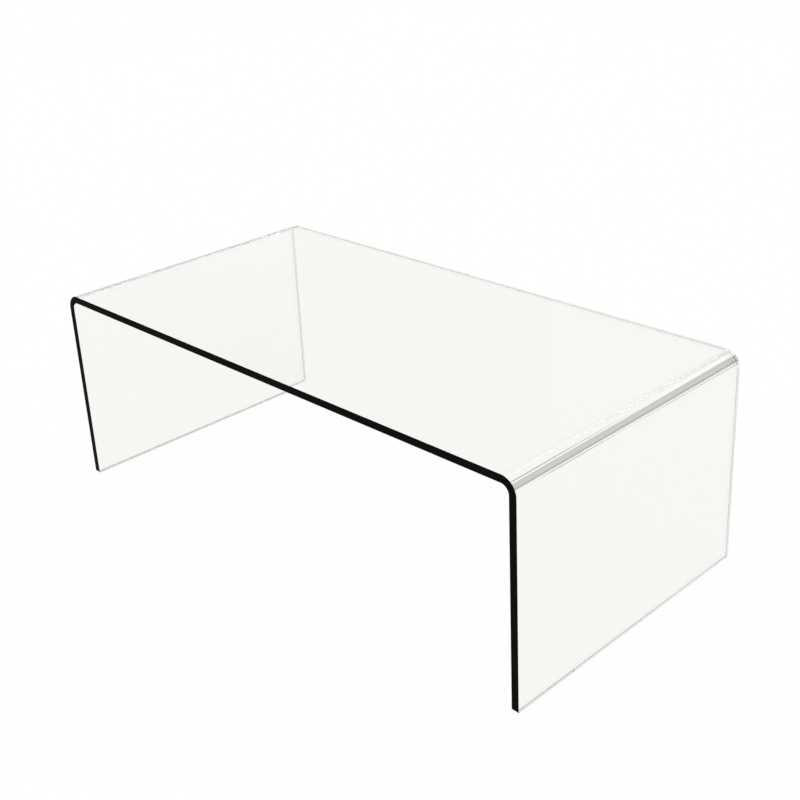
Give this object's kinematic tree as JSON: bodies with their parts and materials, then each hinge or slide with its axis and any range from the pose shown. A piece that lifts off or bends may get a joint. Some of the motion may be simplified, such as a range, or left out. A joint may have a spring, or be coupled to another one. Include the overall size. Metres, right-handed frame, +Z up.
{
  "type": "bent glass coffee table",
  "caption": "Low rectangular coffee table of bent clear glass, its short ends turned down as full-width legs on small clear pads.",
  "frame": {"origin": "middle of the floor under the table, level with the bottoms of the pads", "axes": "+X along the table from the left leg to the right leg, +Y from the front edge to the back edge, +Z up"},
  "size_m": [1, 0.495, 0.345],
  "materials": {
    "clear_glass": "clear toughened float glass, faces fire polished, edges ground and polished dark",
    "clear_pad": "clear soft polyurethane, self-adhesive, smooth"
  },
  "bodies": {
    "root": {"bent_glass_sheet": "clear_glass", "pad_front_left": "clear_pad", "pad_front_right": "clear_pad", "pad_back_left": "clear_pad", "pad_back_right": "clear_pad"}
  },
  "joints": []
}
